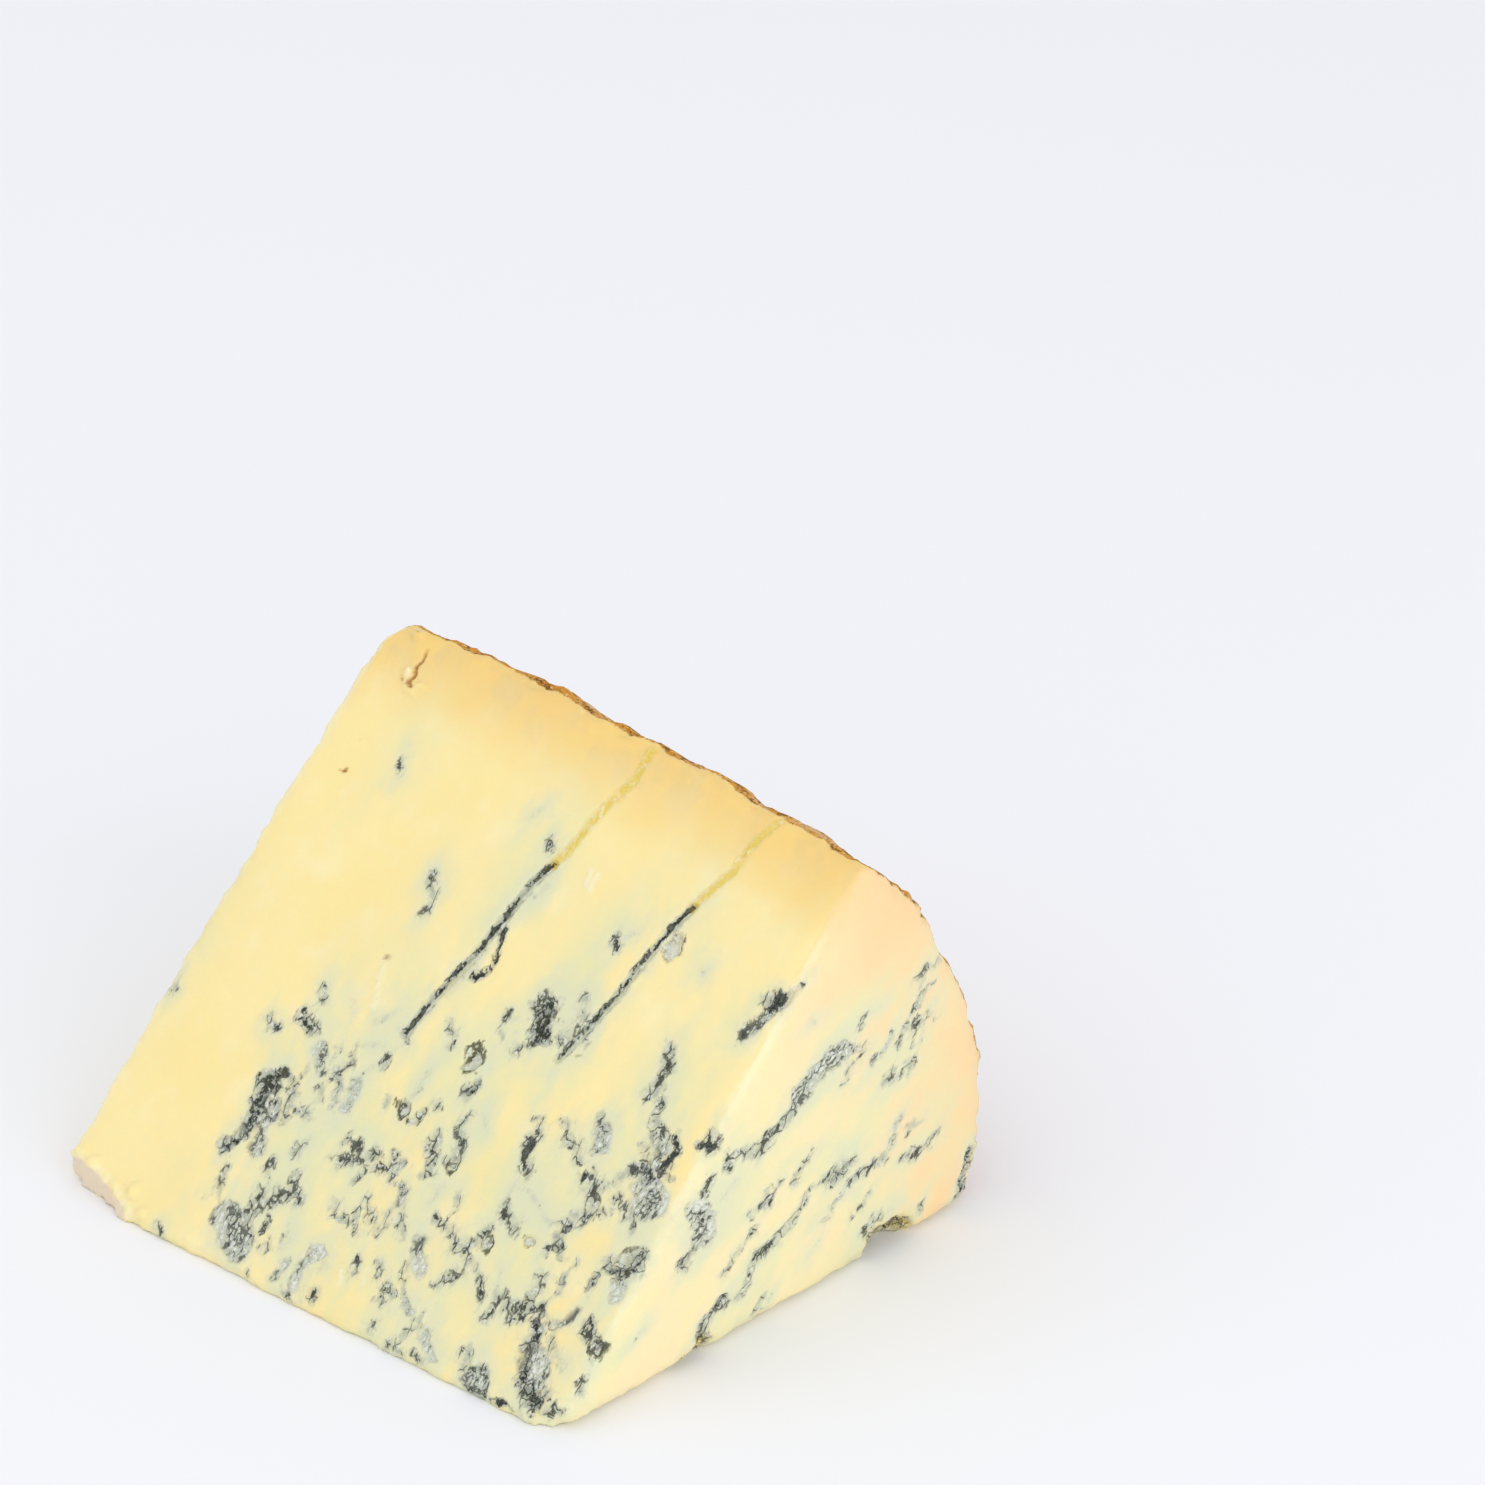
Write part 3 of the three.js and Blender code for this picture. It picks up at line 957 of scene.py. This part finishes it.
def paste_look(tree, colours, grit, rind):
    """The paste's colour, its relief and how dry it is."""
    broad, patch, curd, fine, tiny = (grit[name] for name in ("broad", "patch", "curd", "fine", "tiny"))
    mould = tree.attribute("mould")
    stain = tree.attribute("stain")
    grain = tree.attribute("grain")
    pocket = tree.attribute("pocket")
    groove = tree.attribute("groove")
    end = tree.attribute("end")
    flake = tree.attribute("flake")

    look = tree.mix(tree.step(broad, 0.35, 0.68), colours.paste, colours.butter)
    look = tree.mix(tree.step(patch, 0.5, 0.75) * 0.35, look, colours.cream_and_ridge_highlight)
    look = tree.mix(tree.step(curd, 0.58, 0.8) * 0.25, look, colours.cream_and_ridge_highlight)
    look = tree.mix(end * 0.9, look, tree.mix(tree.step(patch, 0.3, 0.75) * 0.3, colours.end_paste, look))
    # The rounded ridge between the upper face and the end face is found from the way the surface faces. It gets a
    # painted highlight as a cream stripe, and painted shade as a gold band on its upper-face side.
    ridge = end * (1 - end) * 4
    look = tree.mix(end * tree.step(curd * 0.5 + patch * 0.5, 0.52, 0.62) * 0.5, look, colours.paste)
    ridge_shade = tree.step(end, 0.0, 0.1) * tree.step(end, 0.4, 0.15) * tree.step(patch + (fine - 0.5) * 0.5, 0.42, 0.55)
    look = tree.mix(ridge_shade * 0.8, look, colours.gold_and_ridge_shade)
    look = tree.mix(ridge * 0.7, look, colours.cream_and_ridge_highlight)
    under_rind = tree.step(rind * (1 - end * 0.55) + (patch - 0.5) * 8, 19, 1)
    look = tree.mix(under_rind * 0.85, look, tree.mix(end, colours.rim_paste, colours.end_rim_paste))
    dull = tree.step(rind, 16, 4) * tree.step(patch + (curd - 0.5) * 0.5, 0.48, 0.68) * (1 - end)
    look = tree.mix(dull * 0.35, look, colours.olive)
    warm = under_rind * tree.step(patch + (broad - 0.5) * 0.8, 0.5, 0.36) * (1 - end)
    look = tree.mix(warm * 0.4, look, colours.gold_and_ridge_shade)
    start = tree.attribute("start")
    look = tree.mix(start * (1 - start) * 2.2, look, colours.cream_and_ridge_highlight)
    # The flake's bed is painted darker and pinker than the paste: painted shade on a surface that faces down and
    # outwards.
    bed = tree.step(flake + (fine - 0.5) * 0.8, 0.75, 0.3)
    lip = tree.step(flake, 2.4, 1.2) * tree.step(curd, 0.4, 0.55)
    look = tree.mix(lip * 0.5, look, colours.cream_and_ridge_highlight)
    look = tree.mix(bed * 0.9, look, colours.flake)

    look = tree.mix(tree.attribute("scratch") * 0.75, look, (0.98, 0.91, 0.68))
    look = tree.mix(tree.attribute("rust") * tree.step(fine, 0.38, 0.48), look, colours.rust)

    veil = tree.noise(0.011, 3, 0.6, tree.drawn, 5.2)
    look = tree.mix(tree.attribute("bloom") * tree.step(veil, 0.28, 0.68), look, colours.bloom)
    stained = tree.step(stain + (fine - 0.5) * 1.6 + (curd - 0.5) * 2.0 + (veil - 0.5) * 6.0, -3.4, 0.6)
    look = tree.mix(stained * 0.8, look, colours.stain)

    strength = mould + (veil - 0.5) * 1.2 - 0.6
    ragged = (curd - 0.5) * 4.6 + (fine - 0.5) * 3.6 + (tiny - 0.5) * 1.0
    cracks = tree.cells(0.0021, tree.drawn)
    halo = tree.step(strength + ragged * 0.6, -1.45, 0.15)
    look = tree.mix(groove * tree.step(curd, 0.35, 0.55) * 0.6, look, colours.stain)
    look = tree.mix(halo * 0.72, look, colours.halo)
    # Pale flecks in the halo and along the grooves are painted highlights on crumbs, drawn in the salt colour.
    crumb_glints = tree.step(tree.noise(0.0009, 2, 0.6, seed=0.6), 0.56, 0.62)
    look = tree.mix(halo.maximum(groove) * crumb_glints * 0.7, look, colours.salt_and_glints)

    ochre = tree.attribute("ochre")
    lined = ochre * tree.step(curd + (fine - 0.5), 0.25, 0.5)
    look = tree.mix(lined * 0.9, look, colours.ochre)
    look = tree.mix(lined * tree.step(fine, 0.56, 0.66) * 0.8, look, colours.cream_and_ridge_highlight)

    rim = pocket + (fine - 0.5) * 2.0 + (curd - 0.5) * 1.6
    inside = tree.step(rim, 1.0, 0.6)
    ring = tree.step(rim, 0.75, 0.95) * tree.step(rim, 1.4, 1.15) * tree.step(curd + patch, 0.95, 1.1)
    look = tree.mix(inside * 0.85, look, tree.mix(tree.step(curd, 0.36, 0.52), colours.stain, colours.salt_and_glints))
    gaps = tree.cells(0.0009, tree.drawn) + (curd - 0.5) * 1.4 + (fine - 0.5) * 0.5
    crumbs = tree.step(gaps + (tiny - 0.5) * 0.5, 0.2, 0.34)
    look = tree.mix(grain * (1 - ochre) * 0.7, look, colours.ash)
    look = tree.mix(grain * tree.step(gaps, 0.05, -0.05) * 0.75, look, colours.mould)
    look = tree.mix(grain * crumbs * (0.8 - ochre * 0.5), look, colours.salt_and_glints)

    crack = tree.step(cracks + (fine - 0.5) * 0.16, 0.06, 0.02) * tree.step(strength + ragged * 0.5, -1.15, -0.4)
    dark = tree.step(strength + ragged, -0.15, 0.25).maximum(crack * 0.85).maximum(ring * 0.9)
    dark = dark * (1 - grain * crumbs * 0.8)
    moss = tree.step(veil + (fine - 0.5) * 0.6, 0.46, 0.6)
    deep = tree.mix(moss * 0.5, colours.mould, colours.moss)
    look = tree.mix(dark * 0.95, look, tree.mix(tree.step(tiny, 0.55, 0.7) * 0.2, deep, colours.halo))

    dry = dark.maximum(grain).maximum(inside).maximum(groove * 0.6)
    relief = fine * 0.16 + tiny * 0.1 + curd * 0.1 + (fine * 1.2 + tiny) * dry * 0.9
    return look, relief, dry


def crust_look(tree, colours, rim):
    """The rind's colour and its relief. Near the cut it has no dust."""
    blotch = tree.noise(0.011, 4, 0.6, seed=2.0)
    crumb = tree.noise(0.0018, 5, 0.7, seed=2.4)
    grit = tree.noise(0.0006, 3, 0.7, seed=2.9)
    look = tree.mix(tree.step(blotch, 0.35, 0.65), colours.crust, (0.74, 0.36, 0.06))
    look = tree.mix(tree.step(crumb + (grit - 0.5) * 0.6, 0.5, 0.4) * 0.85, look, colours.crust_dark)
    dusty = tree.step(blotch + (crumb - 0.5) * 1.2, 0.5, 0.74) * tree.step(rim, 1.5, 6)
    look = tree.mix(dusty * 0.7, look, colours.dust)
    look = tree.mix(tree.step(grit, 0.57, 0.66) * 0.7, look, (0.92, 0.78, 0.5))
    return look, crumb * 1.6 + grit * 0.5


def floor_material():
    tree = Tree("pale_floor")
    shade = tree.mix(tree.noise(0.4, 2), (0.90, 0.905, 0.94), (0.915, 0.92, 0.95))
    paper = tree.add("ShaderNodeBsdfPrincipled", {}, {"Base Color": shade, "Roughness": 0.75})
    tree.add("ShaderNodeOutputMaterial", {}, {"Surface": paper["BSDF"]})
    return tree.material


# ---------------------------------------------------------------- the stage


class SCENE_OT_cheese_stage(bpy.types.Operator):
    """Lay the floor and set up the light and the camera"""

    bl_idname = "scene.cheese_stage"
    bl_label = "Set Cheese Stage"

    def execute(self, context):
        stage = context.scene.cheese_stage
        self.lay_floor(context)
        self.light(context, stage)
        self.place_camera(context, stage)
        return {"FINISHED"}

    def lay_floor(self, context):
        bm = bmesh.new()
        bmesh.ops.create_grid(bm, x_segments=1, y_segments=1, size=6)
        mesh = bpy.data.meshes.new("floor")
        bm.to_mesh(mesh)
        bm.free()
        floor = bpy.data.objects.new("floor", mesh)
        context.scene.collection.objects.link(floor)
        mesh.materials.append(floor_material())

    def light(self, context, stage):
        world = bpy.data.worlds.new("studio")
        world.use_nodes = True
        sky = world.node_tree.nodes["Background"]
        sky.inputs["Color"].default_value = (0.97, 0.98, 1.0, 1)
        sky.inputs["Strength"].default_value = stage.sky
        context.scene.world = world
        self.area_light(context, "key", (-0.55, -0.45, 0.95), 0.9, stage.key_power)
        self.area_light(context, "side", (1.2, -0.4, 0.5), 1.4, stage.side_power)

    def area_light(self, context, name, place, size, power):
        lamp = bpy.data.lights.new(name, "AREA")
        lamp.shape = "DISK"
        lamp.size = size
        lamp.energy = power
        holder = bpy.data.objects.new(name, lamp)
        holder.location = place
        holder.rotation_mode = "QUATERNION"
        holder.rotation_quaternion = (-Vector(place)).to_track_quat("-Z", "Y")
        context.scene.collection.objects.link(holder)

    def place_camera(self, context, stage):
        """The camera looks past the wedge's back, so that the wedge stands low and left in the picture."""
        aim = Vector((4.2, 47.0, 62.7)) * MM
        back = Vector(
            (
                math.sin(stage.azimuth) * math.cos(stage.elevation),
                -math.cos(stage.azimuth) * math.cos(stage.elevation),
                math.sin(stage.elevation),
            )
        )
        camera = bpy.data.cameras.new("camera")
        camera.lens = stage.lens
        camera.sensor_width = 36
        holder = bpy.data.objects.new("camera", camera)
        holder.location = aim + back * stage.distance
        holder.rotation_mode = "QUATERNION"
        holder.rotation_quaternion = (-back).to_track_quat("-Z", "Y")
        context.scene.collection.objects.link(holder)
        context.scene.camera = holder
        context.scene.view_settings.view_transform = "Standard"


class VIEW3D_PT_cheese(bpy.types.Panel):
    """Sizes, colours and buttons of the cheese wedge"""

    bl_idname = "VIEW3D_PT_cheese"
    bl_label = "Blue Cheese Wedge"
    bl_space_type = "VIEW_3D"
    bl_region_type = "UI"
    bl_category = "Cheese"

    def draw(self, context):
        layout = self.layout
        for group in ("cheese_shape", "cheese_colours", "cheese_stage"):
            settings = getattr(context.scene, group)
            box = layout.box()
            for name in settings.__annotations__:
                box.prop(settings, name)
        layout.operator(OBJECT_OT_cheese_wedge.bl_idname)
        layout.operator(SCENE_OT_cheese_stage.bl_idname)


CLASSES = (
    CheeseShape,
    CheeseColours,
    CheeseStage,
    OBJECT_OT_cheese_wedge,
    SCENE_OT_cheese_stage,
    VIEW3D_PT_cheese,
)


def register():
    for each in CLASSES:
        bpy.utils.register_class(each)
    bpy.types.Scene.cheese_shape = bpy.props.PointerProperty(type=CheeseShape)
    bpy.types.Scene.cheese_colours = bpy.props.PointerProperty(type=CheeseColours)
    bpy.types.Scene.cheese_stage = bpy.props.PointerProperty(type=CheeseStage)


def unregister():
    del bpy.types.Scene.cheese_stage
    del bpy.types.Scene.cheese_colours
    del bpy.types.Scene.cheese_shape
    for each in reversed(CLASSES):
        bpy.utils.unregister_class(each)


def main():
    register()
    bpy.ops.object.cheese_wedge()
    bpy.ops.scene.cheese_stage()


if __name__ == "__main__":
    main()
